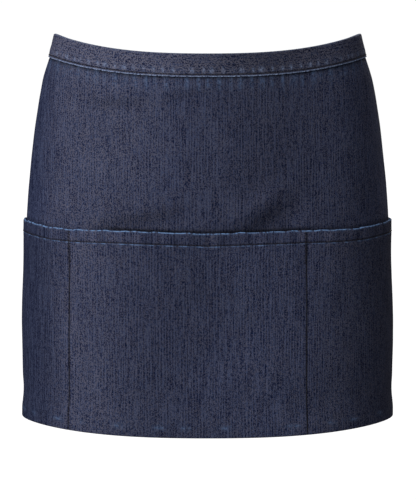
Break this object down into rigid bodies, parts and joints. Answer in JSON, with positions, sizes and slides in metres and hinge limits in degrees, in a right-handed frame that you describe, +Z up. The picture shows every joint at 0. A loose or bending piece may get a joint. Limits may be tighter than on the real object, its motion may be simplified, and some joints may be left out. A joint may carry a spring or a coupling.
{
  "type": "waist apron",
  "caption": "Short denim waist apron in its worn form, curved round open hips, with wide front pockets, a narrow waistband and ties knotted in a bow at the back.",
  "frame": {"origin": "middle of the wearer's waist, level with the middle of the waistband's height at the front", "axes": "+Z up, -Y the way the wearer faces, +X the wearer's left, at the right of the picture"},
  "size_m": [0.336, 0.2423, 0.3553],
  "materials": {
    "panel_denim": "washed indigo denim, fine upright slubs",
    "pocket_denim": "washed indigo denim, pale worn edge along the mouth",
    "band_denim": "washed indigo denim with the grain lengthwise, pale worn lower edge",
    "tie_denim": "washed indigo denim strip, folded and topstitched"
  },
  "bodies": {
    "root": {"body_panel": "panel_denim", "pocket_panel": "pocket_denim", "waistband": "band_denim", "tie_left": "tie_denim", "tie_right": "tie_denim", "tie_bow": "tie_denim"}
  },
  "joints": []
}
